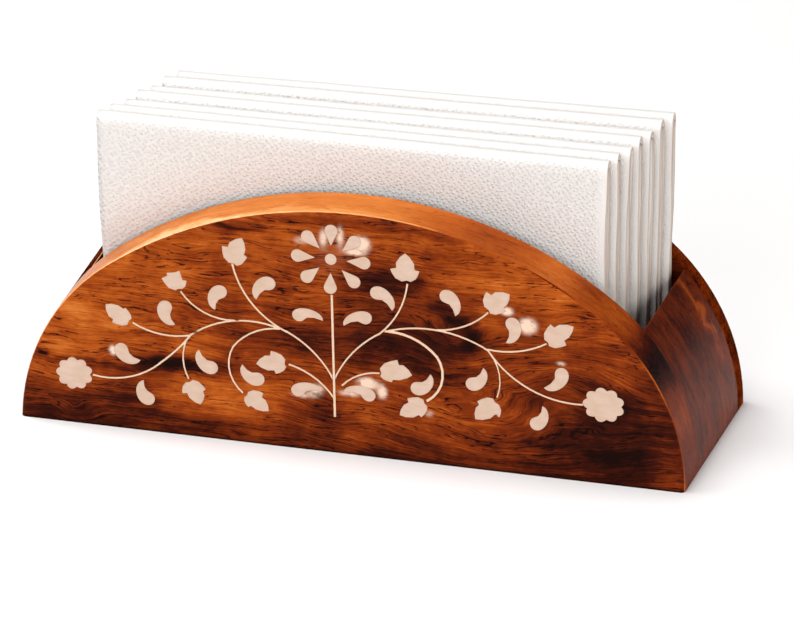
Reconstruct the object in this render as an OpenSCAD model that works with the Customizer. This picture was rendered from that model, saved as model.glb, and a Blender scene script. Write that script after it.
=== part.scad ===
// Half-moon wooden napkin holder with floral inlay, holding a stack of folded paper napkins.
// +X runs along the length, -Y is the inlaid front, +Z is up; the origin is under the middle.

/* [Body] */
// Length of the half-moon panels along the table
body_l = 206; // [176:1:250]
// Height of the arch at its crown
body_h = 78; // [68:1:92]
// Depth from the inlaid face to the back
body_d = 73; // [62:1:100]
// Thickness of the front panel
front_t = 16; // [12:0.5:20]
// Thickness of the back panel
back_t = 8; // [6:0.5:12]
// Width of each end block where it stands on the table
end_w = 17.5; // [14:0.5:24]
// Thickness of the base board
base_t = 13.5; // [9:0.5:16]
// Height of the base board above the table
base_lift = 2; // [0.5:0.5:4]
// Radius of the rounded edge round each panel's outer face
edge_r = 1.5; // [0.5:0.1:2.5]

/* [Dowels] */
// Diameter of the glued dowels
dowel_d = 5; // [4:0.5:6]
// Depth of a dowel in an end block or in the base board
dowel_sink = 12; // [8:0.5:16]
// Depth of a dowel in the front panel
dowel_front = 8; // [5:0.5:9]
// Depth of a dowel in the back panel
dowel_back = 5; // [3:0.5:6]
// Glue gap round a dowel and at its end
dowel_gap = 0.1; // [0.05:0.05:0.3]
// Height of the lower dowel in each end block
dowel_low = 10; // [8:1:14]
// Height of the upper dowel in each end block
dowel_high = 27; // [22:1:30]
// Spacing of the dowels along the base board
dowel_spacing = 61; // [40:1:70]

/* [Inlay] */
// Thickness of the inlaid pieces
inlay_t = 1.6; // [1:0.1:2.5]
// Gap between an inlaid piece and its pocket, on the sides and below
inlay_gap = 0.06; // [0.04:0.01:0.15]
// Radius of a leaf's round head
leaf_r = 2.1; // [1.6:0.1:2.4]
// Radius of a petal's round end
petal_r = 2; // [1.5:0.1:2.3]
// Distance from the flower's middle to a petal's point
petal_in = 4.4; // [3.6:0.1:5]
// Distance from the flower's middle to the centre of a petal's round end
petal_out = 9.2; // [8.4:0.1:10]
// How much wider than tall the flower is
flower_stretch = 1.12; // [1:0.02:1.2]
// Radius of the flower's round centre
centre_r = 1.8; // [1.4:0.1:2.2]
// Width of a vine
vine_w = 0.6; // [0.5:0.05:0.8]
// Width of the straight centre stem
stem_w = 0.75; // [0.6:0.05:1]
// Wood left between the lowest petal and the stem
stem_clear = 0.3; // [0.2:0.05:0.6]

/* [Napkins] */
// Free space at each end of a centred napkin
napkin_side = 7; // [3:0.5:12]
// Angle at which the loose stack lies in the slot, its right end towards the back
napkin_turn = 1.9; // [0:0.1:2.5]
// Free space left at the slot's ends by the napkins that lie furthest over
napkin_clear = 0.5; // [0.3:0.1:1]
// Gap between napkins, and between the stack and the panels
napkin_gap = 0.4; // [0.3:0.05:0.6]
// Gap between the napkins and the base board
napkin_seat = 0.3; // [0.2:0.05:0.5]

/* [Hidden] */
$fn = 96;
napkin_count = 7;
napkin_names = [for (i = [1 : napkin_count]) str("napkin_", i < 10 ? "0" : "", i)];

wood = [0.55, 0.26, 0.10];
dark_wood = [0.38, 0.16, 0.08];
dowel_wood = [0.80, 0.65, 0.42];
inlay_tone = [0.94, 0.84, 0.76];
paper = [0.95, 0.94, 0.92];

// planes and spaces that the pieces share
front_y = -body_d / 2;
slot_front = front_y + front_t;
slot_back = body_d / 2 - back_t;
slot_d = slot_back - slot_front;
slot_w = body_l - 2 * end_w;
floor_z = base_lift + base_t;

// Three-centred arch: two shoulder arcs stand on the table, and a wide crown arc joins them.
// The arcs meet smoothly on lines that rise 4 for every 3 across, through both their centres.
meet = [3, 4];
shoulder_x = (body_l / 2 - body_h) / (1 + (meet.y - norm(meet)) / meet.x);
shoulder_r = body_l / 2 - shoulder_x;
crown_r = shoulder_r + shoulder_x * norm(meet) / meet.x;
crown_z = body_h - crown_r;
meet_end = [shoulder_x, 0] + meet * body_l / norm(meet);

// --- upright boards ---------------------------------------------------------------------

// Stands a shape drawn in X and Z upright, with its thickness running forward from back_y
module upright(back_y) {
    translate([0, back_y, 0]) rotate([90, 0, 0]) children();
}

// Disc lying flat, the edge of its upper face rounded, with the start of its rim at -Y
module disc(r, thick, round_r) {
    rotate([0, 0, -90])
        if (round_r > 0)
            rotate_extrude() {
                square([r - round_r, thick]);
                square([r, thick - round_r]);
                translate([r - round_r, thick - round_r]) circle(round_r);
            }
        else
            cylinder(r = r, h = thick);
}

// Board of the arch's outline, lying flat, with the curved edge of its upper face rounded
module arch_slab(thick, round_r = 0) {
    intersection() {
        translate([0, crown_z, 0]) disc(crown_r, thick, round_r);
        translate([0, 0, -1]) linear_extrude(thick + 2)
            polygon([[-shoulder_x, 0], [shoulder_x, 0], meet_end, [-meet_end.x, meet_end.y]]);
    }
    for (side = [0, 1])
        mirror([side, 0, 0]) intersection() {
            translate([shoulder_x, 0, 0]) disc(shoulder_r, thick, round_r);
            translate([0, 0, -1]) linear_extrude(thick + 2)
                polygon([[shoulder_x, 0], [2 * body_l, 0], [2 * body_l, meet_end.y], meet_end]);
        }
    // the heart of the board, which the three parts share
    linear_extrude(thick) polygon([
        [-shoulder_x - shoulder_r / 2, 0], [shoulder_x + shoulder_r / 2, 0],
        [shoulder_x, shoulder_r / 2], [-shoulder_x, shoulder_r / 2]
    ]);
}

// --- dowels -----------------------------------------------------------------------------

// Half the length of the board's outline at height z, on the shoulder arc
function outline_x(z) = shoulder_x + sqrt(shoulder_r ^ 2 - z ^ 2);

// Places of the dowels in X and Z: two up the middle of each end block, three along the base board
block_dowels = [for (side = [-1, 1], z = [dowel_low, dowel_high])
    [side * (slot_w / 2 + outline_x(z)) / 2, z]];
board_dowels = [for (k = [-1, 0, 1]) [k * dowel_spacing, base_lift + base_t / 2]];

// Dowels from the slot's wall at wall_y: panel_deep in the panel, dowel_sink in the other piece
module dowel_row(places, wall_y, panel_side, panel_deep, slack = 0) {
    reach = panel_deep + dowel_sink + 2 * slack;
    front_end = panel_side < 0 ? wall_y - panel_deep - slack : wall_y - dowel_sink - slack;
    for (p = places)
        translate([p.x, front_end, p.y])
            rotate([-90, 0, 0]) cylinder(d = dowel_d + 2 * slack, h = reach);
}

module front_dowel_row(places, slack = 0) {
    dowel_row(places, slot_front, -1, dowel_front, slack);
}

module back_dowel_row(places, slack = 0) {
    dowel_row(places, slot_back, 1, dowel_back, slack);
}

// --- inlay outlines ---------------------------------------------------------------------

function unit(v) = v / norm(v);
function turned(p, a) = [p.x * cos(a) - p.y * sin(a), p.x * sin(a) + p.y * cos(a)];
function placed(outline, at, a, flip = 1) = [for (p = outline) at + turned([p.x, flip * p.y], a)];
function crossed(p, q) = p.x * q.y - p.y * q.x;
function total(numbers) = numbers * [for (n = numbers) 1];

// 1 where the outline's points run anticlockwise, -1 where they run clockwise
function way_round(outline) =
    let (n = len(outline))
    sign(total([for (i = [0 : n - 1]) crossed(outline[i], outline[(i + 1) % n])]));

// Outline moved outwards by gap, with mitred corners
function grown(outline, gap) =
    let (n = len(outline), way = way_round(outline))
    [for (i = [0 : n - 1])
        let (
            into = unit(outline[i] - outline[(i + n - 1) % n]),
            out = unit(outline[(i + 1) % n] - outline[i]),
            side_in = [into.y, -into.x],
            side_out = [out.y, -out.x]
        )
        outline[i] + way * gap * (side_in + side_out) / (1 + side_in * side_out)];

// Petal: its point at the origin, its round end at reach along X
function petal(reach, r) =
    let (open = 180 - acos(r / reach))
    concat([[0, 0]], [for (k = [-1 : 0.125 : 1]) [reach + r * cos(k * open), r * sin(k * open)]]);

// Comma leaf: its round head at the origin, its tip at reach along X, its back rise high
function comma(reach, r, rise) =
    let (
        half = (reach + r) / 2,
        neck = r * [1.25, -0.1],
        belly = [half, 0.12 * r]
    )
    concat(
        [for (a = [0 : 15 : 165]) [reach - half + half * cos(a), rise * sin(a)]],
        [for (a = [180 : 20 : 320]) r * [cos(a), sin(a)]],
        [neck, belly]
    );

// One side of a bud: sepal is its tip along and out from the foot, half the petal's half width.
// The petal's point is at reach along X; open is 0 for a closed bud and 1 for a flat-topped one.
sepal_notch = 0.4;
function bud_side(reach, sepal, half, open) =
    let (notch_x = sepal.x + sepal_notch, rest = reach - notch_x)
    [
        [0, 0.5 * half], [0.25 * sepal.x, 0.7 * sepal.y], [0.65 * sepal.x, 0.9 * sepal.y], sepal,
        [notch_x, half], [notch_x + 0.35 * rest, half],
        [notch_x + (0.75 + 0.2 * open) * rest, (0.55 + 0.4 * open) * half]
    ];

// Three-pointed bud with its foot at the origin, made of its right side, its point and its left side
function bud(reach, left_sepal, left_half, right_sepal, right_half, open) =
    let (
        right = bud_side(reach, right_sepal, right_half, open),
        left = bud_side(reach, left_sepal, left_half, open)
    )
    concat(
        [[0.04 * reach, 0]],
        [for (p = right) [p.x, -p.y]],
        [[(1 - 0.06 * open) * reach, 0]],
        [for (i = [len(left) - 1 : -1 : 0]) left[i]]
    );

// Scalloped flower head, rx wide and rz tall from its middle
function rosette(rx, rz, lobes) =
    let (dip = 0.17)
    [for (k = [0 : 8 * lobes - 1])
        let (a = 360 * k / (8 * lobes), reach = 1 - dip + dip * abs(sin(a * lobes / 2)))
        [rx * reach * cos(a), rz * reach * sin(a)]];

// Vine from p to q on an arc that stands bulge to the left of the straight line, w wide
function vine(p, q, bulge, w) =
    let (
        span = norm(q - p),
        along = unit(q - p),
        left = [-along.y, along.x],
        r = (span ^ 2 / 4 + bulge ^ 2) / (2 * bulge),
        middle = (p + q) / 2 + left * (bulge - r),
        sweep = 2 * asin(span / (2 * r)),
        steps = max(3, ceil(span / 2.5)),
        rays = [for (k = [0 : steps]) turned(left, sweep * (0.5 - k / steps))]
    )
    concat(
        [for (ray = rays) middle + ray * (r - w / 2)],
        [for (k = [steps : -1 : 0]) middle + rays[k] * (r + w / 2)]
    );

// --- inlay layout -----------------------------------------------------------------------

// Length and height of the panel that the rows below were drawn for; they follow the real panel
drawn_for = [206, 78];
function at(x, z) = [x * body_l / drawn_for.x, z * body_h / drawn_for.y];
row_scale = min(body_l / drawn_for.x, body_h / drawn_for.y);

flower_row = [-7.4, 62.7];
flower_at = at(flower_row.x, flower_row.y);
petal_turns = [for (k = [0 : 7]) 45 * k];

// x and z of the head, direction of the tip, head to tip, height of the back, side of the back
left_leaf_rows = [
    [-58.5, 41, -60, 6.2, 3.3, -1], [-41.5, 48, -104, 6.2, 3.3, -1], [-72, 25.5, -25, 6.6, 3.2, -1],
    [-44, 23, 126, 6.6, 3.2, 1], [-63.5, 10.5, 104, 6, 3.2, 1], [-26.5, 52.5, -124, 6.8, 3.4, -1],
    [-17, 43.5, -8, 7.5, 2.6, 1], [-29.5, 21, 139, 6.4, 3.2, 1], [-17, 19, 3, 7.2, 2.6, 1],
];
right_leaf_rows = [
    [7, 53.5, -47, 7.1, 3.2, 1], [28.5, 55, -65, 6.7, 3.3, 1], [3.5, 45, -153, 7.4, 2.7, -1],
    [20, 24, 52, 6.4, 3.2, -1], [5, 20, 179, 7.8, 2.6, -1], [49, 48.5, -106, 6.6, 3.3, 1],
    [64.5, 34, -137, 7.4, 3.3, 1], [37, 27.5, 60, 6.5, 3.2, -1], [57, 17, 74, 6.2, 3, -1],
];

// x and z of the foot, direction of the point, length; left sepal's tip along and out, petal's
// half width on the left; the same three for the right; open
left_bud_rows = [
    [-69.5, 34.9, 148, 8.9, 4.1, 3.6, 2.6, 3.4, 2.9, 2.2, 0],
    [-54.3, 47.2, 107, 5.9, 4.5, 4.3, 2.3, 2.3, 3.1, 1.9, 1],
    [-37.4, 57.4, 75, 9.2, 4.4, 5, 3.2, 3.8, 3.2, 2.1, 0],
    [-50.8, 17.7, -63, 8, 4.1, 3.7, 2.5, 2.8, 3.7, 2.3, 0],
    [-33.1, 15.4, -32, 8.4, 3.9, 3.9, 2.4, 2.7, 2.9, 2, 0],
    [-20.9, 27.1, -173, 9.2, 3.4, 3.3, 2.2, 4.2, 4.1, 2.6, 0],
];
right_bud_rows = [
    [16.2, 58.3, 94, 9.1, 3.9, 4.9, 3, 3.5, 4.1, 2.6, 0],
    [8.4, 27.5, 3, 9.9, 5.5, 4.7, 3.1, 3.5, 2.6, 1.8, 0],
    [22.5, 19.6, -148, 9.3, 3.5, 3.5, 2.5, 4.3, 3.6, 2.3, 0],
    [41.4, 51.9, 43, 9, 3.8, 4.8, 3.1, 4.3, 3.4, 2.1, 0],
    [59.8, 43.6, 38, 10.3, 4.6, 4.3, 2.8, 4.7, 3.7, 2.1, 0],
    [44.3, 22.7, -134, 9, 2.8, 4.3, 2.8, 4.4, 3.7, 2.5, 0],
];

// x and z of the middle, half width, half height, lobes
left_rosette_row = [-86.5, 16, 5.7, 5.2, 9];
right_rosette_row = [77.6, 25.6, 6.5, 5.6, 9];

// x and z of the straight stem's foot; its top stands just under the lowest petal
stem_foot_row = [-5.4, 11.6];
stem_foot = at(stem_foot_row.x, stem_foot_row.y);
petal_low = flower_at - [0, petal_out + petal_r + stem_clear];
stem_top = petal_low + [(stem_foot.x - flower_at.x) * (flower_at.y - petal_low.y)
    / (flower_at.y - stem_foot.y), 0];

// x and z of the start, x and z of the end, bulge to the left, width as a share of vine_w
left_vine_rows = [
    [-5.9, 23.5, -21, 37.7, -1.7, 1], [-20.6, 37.4, -37.9, 57.6, 3.2, 1],
    [-22.8, 38.2, -50.5, 32.8, -3.6, 1], [-53.8, 46.7, -37, 39.2, -2.5, 0.9],
    [-68.6, 34.7, -50.3, 32.8, -1.8, 1], [-80.8, 16.2, -60, 22.4, -2.6, 1],
    [-60.3, 22.2, -50.2, 33.2, -0.5, 1.1], [-51.8, 31, -50.9, 18.4, -1.4, 0.9],
    [-22.8, 38.2, -37.4, 30.5, -2, 1], [-37.2, 30.8, -34, 15.9, -2.8, 1],
    [-20, 27, -5.7, 17.6, 1.6, 1],
];
right_vine_rows = [
    [-6.1, 23, 8.4, 40.6, 1.9, 1], [8, 40.3, 16.4, 57.6, -1.8, 1],
    [9.6, 41.2, 42, 38.8, 3.6, 1], [25.6, 43.7, 41.5, 51.3, -1.7, 1],
    [41.4, 39.3, 59.7, 43.4, -1.6, 1], [41.7, 38.9, 71.2, 24.9, -4.3, 1],
    [42, 38.4, 44.6, 24, 2, 0.8], [10.4, 41.4, 26, 34.8, 1.9, 1.4],
    [25.8, 35.1, 22.9, 20.2, 3.3, 1.4], [-3.4, 22, 8.2, 27.5, 1.4, 1],
];

function leaf_outlines(rows) =
    [for (r = rows)
        placed(comma(r[3] * row_scale, leaf_r, r[4] * row_scale), at(r[0], r[1]), r[2], r[5])];
function bud_outlines(rows) =
    [for (r = rows)
        let (k = row_scale)
        placed(
            bud(r[3] * k, [r[4], r[5]] * k, r[6] * k, [r[7], r[8]] * k, r[9] * k, r[10]),
            at(r[0], r[1]), r[2]
        )];
function rosette_outline(r) =
    placed(rosette(r[2] * row_scale, r[3] * row_scale, r[4]), at(r[0], r[1]), 0);
function vine_outlines(rows) =
    [for (r = rows) vine(at(r[0], r[1]), at(r[2], r[3]), r[4] * row_scale, r[5] * vine_w)];
function flower_spot(reach, a) = reach * [flower_stretch * cos(a), sin(a)];
petal_outlines = [for (a = petal_turns)
    let (
        point = flower_spot(petal_in, a),
        round_end = flower_spot(petal_out, a),
        way = round_end - point
    )
    placed(petal(norm(way), petal_r), flower_at + point, atan2(way.y, way.x))];
centre_outline = [for (a = [0 : 15 : 345]) flower_at + centre_r * [cos(a), sin(a)]];
function straight(p, q, w) =
    let (along = unit(q - p), left = [-along.y, along.x] * w / 2)
    [p - left, q - left, q + left, p + left];
stem_outline = straight(stem_top, stem_foot, stem_w);

// Pieces let into the face, thick deep and flush with it, or their pockets
module let_in(outlines, thick, gap = 0) {
    upright(front_y + thick)
        for (outline = outlines)
            linear_extrude(thick + (gap > 0 ? 1 : 0)) polygon(gap > 0 ? grown(outline, gap) : outline);
}

module inlaid(outlines) {
    color(inlay_tone) let_in(outlines, inlay_t);
}

// Vines in one glued piece, cut back where they meet the straight stem
module vines(rows) {
    color(inlay_tone) difference() {
        let_in(vine_outlines(rows), inlay_t);
        upright(front_y + inlay_t + 1)
            linear_extrude(inlay_t + 2) polygon(grown(stem_outline, inlay_gap));
    }
}

all_outlines = concat(
    petal_outlines, [centre_outline, stem_outline],
    vine_outlines(left_vine_rows), vine_outlines(right_vine_rows),
    leaf_outlines(left_leaf_rows), leaf_outlines(right_leaf_rows),
    bud_outlines(left_bud_rows), bud_outlines(right_bud_rows),
    [rosette_outline(left_rosette_row), rosette_outline(right_rosette_row)]
);

// --- wooden pieces ----------------------------------------------------------------------

module front_panel() {
    color(wood) difference() {
        upright(slot_front) arch_slab(front_t, edge_r);
        let_in(all_outlines, inlay_t + inlay_gap, inlay_gap);
        front_dowel_row(block_dowels, dowel_gap);
        front_dowel_row(board_dowels, dowel_gap);
    }
}

module back_panel() {
    color(wood) difference() {
        mirror([0, 1, 0]) upright(-slot_back) arch_slab(back_t, edge_r);
        back_dowel_row(block_dowels, dowel_gap);
        back_dowel_row(board_dowels, dowel_gap);
    }
}

module end_block(side) {
    color(dark_wood) difference() {
        intersection() {
            upright(slot_back) arch_slab(slot_d);
            translate([side > 0 ? slot_w / 2 : -body_l, slot_front - 1, 0])
                cube([body_l - slot_w / 2, slot_d + 2, body_h]);
        }
        front_dowel_row(block_dowels, dowel_gap);
        back_dowel_row(block_dowels, dowel_gap);
    }
}

module left_end_block() { end_block(-1); }
module right_end_block() { end_block(1); }

module base_board() {
    color(dark_wood) difference() {
        translate([-slot_w / 2, slot_front, base_lift]) cube([slot_w, slot_d, base_t]);
        front_dowel_row(board_dowels, dowel_gap);
        back_dowel_row(board_dowels, dowel_gap);
    }
}

module front_dowels() { color(dowel_wood) front_dowel_row(block_dowels); }
module back_dowels() { color(dowel_wood) back_dowel_row(block_dowels); }
module base_dowels() {
    color(dowel_wood) {
        front_dowel_row(board_dowels);
        back_dowel_row(board_dowels);
    }
}

// --- inlaid pieces ----------------------------------------------------------------------

module flower_petals() { inlaid(petal_outlines); }
module flower_centre() { inlaid([centre_outline]); }
module centre_stem() { inlaid([stem_outline]); }
module left_vines() { vines(left_vine_rows); }
module right_vines() { vines(right_vine_rows); }
module left_leaves() { inlaid(leaf_outlines(left_leaf_rows)); }
module right_leaves() { inlaid(leaf_outlines(right_leaf_rows)); }
module left_buds() { inlaid(bud_outlines(left_bud_rows)); }
module right_buds() { inlaid(bud_outlines(right_bud_rows)); }
module left_rosette() { inlaid([rosette_outline(left_rosette_row)]); }
module right_rosette() { inlaid([rosette_outline(right_rosette_row)]); }

// --- napkins ----------------------------------------------------------------------------

// A square sheet folded in eight is twice as wide as it is tall
napkin_w = slot_w - 2 * napkin_side;
napkin_h = napkin_w / 2;
napkin_pitch = (slot_d - napkin_gap - napkin_w * sin(napkin_turn)) / napkin_count;
napkin_t = napkin_pitch * cos(napkin_turn) - napkin_gap;
napkin_span = napkin_w * cos(napkin_turn) + napkin_t * sin(napkin_turn);
napkin_fan = (slot_w - napkin_span) / 2 - napkin_clear;

// Folded napkin standing on its long edge, its folds rounded; the stack fans from left to right
module napkin(i) {
    over = napkin_fan * (2 * i / (napkin_count - 1) - 1);
    middle_y = (slot_front + slot_back) / 2 + napkin_pitch * (i - (napkin_count - 1) / 2);
    fold = napkin_t / 2;
    foot = napkin_t / 6;
    color(paper)
        translate([over, middle_y, floor_z + napkin_seat])
            rotate([0, 0, napkin_turn])
                translate([-napkin_w / 2, 0, 0])
                    rotate([90, 0, 90]) linear_extrude(napkin_w)
                        polygon(concat(
                            [for (a = [0 : 20 : 180]) [fold * cos(a), napkin_h - fold + fold * sin(a)]],
                            [[-fold, foot], [foot - fold, 0], [fold - foot, 0], [fold, foot]]
                        ));
}

front_panel();
back_panel();
left_end_block();
right_end_block();
base_board();
front_dowels();
back_dowels();
base_dowels();
flower_petals();
flower_centre();
centre_stem();
left_vines();
right_vines();
left_leaves();
right_leaves();
left_buds();
right_buds();
left_rosette();
right_rosette();
for (i = [0 : napkin_count - 1])
    napkin(i);
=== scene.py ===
# %% [markdown]
# A half-moon napkin holder, dressed for its portrait. The CAD model gives every size, so this
# script first loads it as a frame that never moves, and keeps the box that it fills. Everything
# made below goes where the frame says, in metres, with +X along the length and -Y at the front.

# %% Load the frame
import math
import bmesh
import bpy
from mathutils import Matrix, Vector


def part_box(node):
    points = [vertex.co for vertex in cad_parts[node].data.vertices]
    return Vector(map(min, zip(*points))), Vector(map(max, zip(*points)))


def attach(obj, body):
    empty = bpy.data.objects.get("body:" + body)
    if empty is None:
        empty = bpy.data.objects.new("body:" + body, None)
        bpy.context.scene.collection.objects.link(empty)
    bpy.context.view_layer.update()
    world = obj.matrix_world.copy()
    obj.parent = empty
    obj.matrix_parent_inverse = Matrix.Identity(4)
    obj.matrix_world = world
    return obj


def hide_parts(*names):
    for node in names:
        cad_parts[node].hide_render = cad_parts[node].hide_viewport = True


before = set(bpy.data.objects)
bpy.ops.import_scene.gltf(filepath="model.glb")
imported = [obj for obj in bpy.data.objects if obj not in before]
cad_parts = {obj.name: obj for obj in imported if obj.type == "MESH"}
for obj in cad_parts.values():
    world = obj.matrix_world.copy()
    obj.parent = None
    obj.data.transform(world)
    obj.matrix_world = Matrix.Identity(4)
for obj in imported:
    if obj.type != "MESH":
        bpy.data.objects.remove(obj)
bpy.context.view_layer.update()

# %% [markdown]
# The camera comes first, because every later choice is judged through it. The photograph was
# taken from far away with a long lens, since the holder's parallel edges stay parallel in it. So
# the lens here is very long and the camera stands nine metres off, to the right of the front and
# 23 degrees above the table. A short lens from close by would make the front panel too large.

# %% Camera
MM = 0.001
PHOTO_WIDTH, FOCAL_LENGTH = 794, 30000  # both in pixels of the photograph
SENSOR = 36  # mm, the width of film that the lens is quoted for
TARGET = Vector((3.94, 0.0, 30.28)) * MM
DISTANCE = 9022.7 * MM
YAW, PITCH, ROLL = (math.radians(a) for a in (14.49, 23.03, 0.83))


def in_scene(name, data):
    """A new object with that data, linked into the scene."""
    item = bpy.data.objects.new(name, data)
    bpy.context.scene.collection.objects.link(item)
    return item


back = Vector((math.sin(YAW) * math.cos(PITCH), -math.cos(YAW) * math.cos(PITCH), math.sin(PITCH)))
level_right = Vector((math.cos(YAW), math.sin(YAW), 0))
level_up = back.cross(level_right)
right = level_right * math.cos(ROLL) + level_up * math.sin(ROLL)
up = level_up * math.cos(ROLL) - level_right * math.sin(ROLL)

camera_data = bpy.data.cameras.new("camera")
camera_data.sensor_width = SENSOR
camera_data.lens = FOCAL_LENGTH * SENSOR / PHOTO_WIDTH
camera = in_scene("camera", camera_data)
turn = Matrix((right, up, back)).transposed().to_4x4()
camera.matrix_world = Matrix.Translation(TARGET + back * DISTANCE) @ turn
bpy.context.scene.camera = camera
print("lens", round(camera_data.lens, 1), "mm from", round(DISTANCE, 2), "m")

# %% [markdown]
# Every finish below is a tree of nodes, so four helpers come before them. Colours are written as
# they look on a screen, and Blender computes with amounts of light, so the first turns one into
# the other. The second adds a node and says in one line what goes into it, which makes a tree read
# like a recipe. The third starts a material with an empty tree, and the last fills a colour ramp.

# %% Colours, nodes and materials
def hex_colour(code):
    """An sRGB colour written as #rrggbb, as the linear colour that Blender computes with."""
    parts = [int(code[i:i + 2], 16) / 255 for i in (1, 3, 5)]
    return [c / 12.92 if c <= 0.04045 else ((c + 0.055) / 1.055) ** 2.4 for c in parts] + [1.0]


def add(tree, kind, settings=None, **inputs):
    """Adds one node. Settings are its properties. An input is named in words joined by _, or
    numbered as in_0. A socket given as its value is linked, and so is a node, by its first
    output; anything else is set on it. A colour Mix mixes in_6 and in_7 into its outputs[2]."""
    node = tree.nodes.new(kind)
    for name, value in (settings or {}).items():
        setattr(node, name, value)
    for name, value in inputs.items():
        socket = node.inputs[int(name[3:]) if name.startswith("in_") else name.replace("_", " ")]
        if isinstance(value, bpy.types.Node):
            value = value.outputs[0]
        if isinstance(value, bpy.types.NodeSocket):
            tree.links.new(value, socket)
        else:
            socket.default_value = value
    return node


def new_material(name):
    """A material and its tree, with no node in it yet."""
    material = bpy.data.materials.new(name)
    material.use_nodes = True
    material.node_tree.nodes.clear()
    return material, material.node_tree


def paint(ramp, tones):
    """Gives a colour ramp these colours, each at its place from 0 to 1."""
    stops = ramp.color_ramp.elements
    while len(stops) < len(tones):
        stops.new(0.5)
    for stop, (code, at) in zip(stops, tones):
        stop.position, stop.color = at, hex_colour(code)


print("mid grey is", round(hex_colour("#808080")[0], 3), "of the light of white")

# %% [markdown]
# The wood is sheesham, Indian rosewood: an open-pored timber whose colour runs from golden brown
# to nearly black. It was sawn, sanded and lacquered to a satin finish. Its look comes from growth
# layers cut lengthwise, which give long dark streaks, and from pores cut open, which give fine
# dark dashes. Both are drawn from one height field: the streaks are its contour lines, so a bump
# in the field makes the grain flow round a knot, as it does in a real board. Two helpers come
# first: noise stretched along the grain, and a soft hill laid on a tone or a height.

# %% Noise and hills
IN_MM = (1000, 1000, 1000)  # a Mapping node's scale that turns metres into millimetres


def stretched_noise(tree, point, per_mm, detail, roughness=0.6):
    """Noise that changes per_mm along each axis, so that 0.05 along X is a 20 mm long feature."""
    spot = add(tree, "ShaderNodeVectorMath", {"operation": "MULTIPLY"}, in_0=point, in_1=per_mm)
    return add(tree, "ShaderNodeTexNoise", Vector=spot, Scale=1.0, Detail=detail,
               Roughness=roughness)


def hill(tree, point, x, z, reach_x, reach_z, height, under):
    """Adds to under a soft hill of that height over the spot x, z of the front."""
    near = add(tree, "ShaderNodeVectorMath", {"operation": "MULTIPLY_ADD"}, in_0=point,
               in_1=(1 / reach_x, 0, 1 / reach_z), in_2=(-x / reach_x, 0, -z / reach_z))
    far = add(tree, "ShaderNodeVectorMath", {"operation": "DOT_PRODUCT"}, in_0=near, in_1=near)
    soft = add(tree, "ShaderNodeMath", {"operation": "POWER"}, in_0=math.exp(-1),
               in_1=far.outputs[1])
    return add(tree, "ShaderNodeMath", {"operation": "MULTIPLY_ADD"}, in_0=soft, in_1=height,
               in_2=under)


def all_hills(tree, point, hills, under):
    """Adds every one of these hills to under."""
    for placed in hills:
        under = hill(tree, point, *placed, under=under)
    return under


print("hills are", round(math.exp(-1), 2), "of their height at their reach")

# %% [markdown]
# The growth field is a node group, because every board reads the same one. It gives the figure,
# which is how light or dark the growth layers are at a point, the pores, and the point itself
# warped a little, so that a patch of colour laid there gets a natural outline.

# %% Growth field shared by the boards
KNOTS = [  # x and z of the middle, reach along x and z, rise, all in mm
    (-86, 4, 6, 4, 3.5), (-54, 2, 30, 5, -3), (31, 40, 9, 7, 6), (44, 8, 30, 16, 7),
    (-9, 13, 9, 6, 3), (66, 30, 16, 12, -6),
]
BEND = 12.0  # mm by which the layers bend up and down along a board
LINE_REACH, LINE_TONE = 0.011, -0.24  # a dark line's reach round its noise's middle, its tone
FIBRE, MOTTLE, BAND = 0.44, 0.50, 0.36  # what each noise adds to the tone
DRIFT = (18, 18, 10)  # mm by which a patch of colour wanders off its plain oval

growth = bpy.data.node_groups.new("growth layers of a board", "ShaderNodeTree")
for name, way, kind in (("Place", "INPUT", "Vector"), ("Figure", "OUTPUT", "Float"),
                        ("Pore", "OUTPUT", "Float"), ("Warped", "OUTPUT", "Vector")):
    growth.interface.new_socket(name, in_out=way, socket_type="NodeSocket" + kind)
place = add(growth, "NodeGroupInput").outputs["Place"]
axes = add(growth, "ShaderNodeSeparateXYZ", Vector=place).outputs
bend = stretched_noise(growth, place, (0.018, 0.03, 0.05), 3.0)
height = add(growth, "ShaderNodeMath", {"operation": "MULTIPLY_ADD"}, in_0=bend, in_1=BEND,
             in_2=axes["Z"])
height = all_hills(growth, place, KNOTS, height)
layered = add(growth, "ShaderNodeCombineXYZ", X=axes["X"], Y=axes["Y"], Z=height)

# fibres 0.6 mm apart, bands 4 mm and mottling 10 mm across, and dark lines 3 to 5 mm apart
fibre = stretched_noise(growth, layered, (0.07, 0.5, 1.9), 3.0, 0.75)
band = stretched_noise(growth, layered, (0.02, 0.10, 0.25), 2.0)
mottle = stretched_noise(growth, place, (0.08, 0.09, 0.12), 4.0, 0.65)
line = stretched_noise(growth, layered, (0.03, 0.10, 0.30), 3.0, 0.65)
# a line is drawn where its noise crosses the middle, and is broken wherever the fibres are pale
on_line = add(growth, "ShaderNodeMath", {"operation": "COMPARE"}, in_0=line, in_1=0.5,
              in_2=LINE_REACH)
broken = add(growth, "ShaderNodeMapRange", Value=fibre, From_Min=0.62, From_Max=0.44,
             To_Min=0.0, To_Max=LINE_TONE)
figure = add(growth, "ShaderNodeMath", {"operation": "MULTIPLY"}, in_0=on_line, in_1=broken)
for noise, share in ((fibre, FIBRE), (mottle, MOTTLE), (band, BAND)):
    centred = add(growth, "ShaderNodeMath", {"operation": "SUBTRACT"}, in_0=noise, in_1=0.5)
    figure = add(growth, "ShaderNodeMath", {"operation": "MULTIPLY_ADD"}, in_0=centred,
                 in_1=share, in_2=figure)

# pores 0.3 mm wide and a few mm long, kept apart by being the peaks of a noise
dash = stretched_noise(growth, layered, (0.22, 1.2, 2.4), 2.0)
pore = add(growth, "ShaderNodeMapRange", Value=dash, From_Min=0.60, From_Max=0.68)

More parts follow.
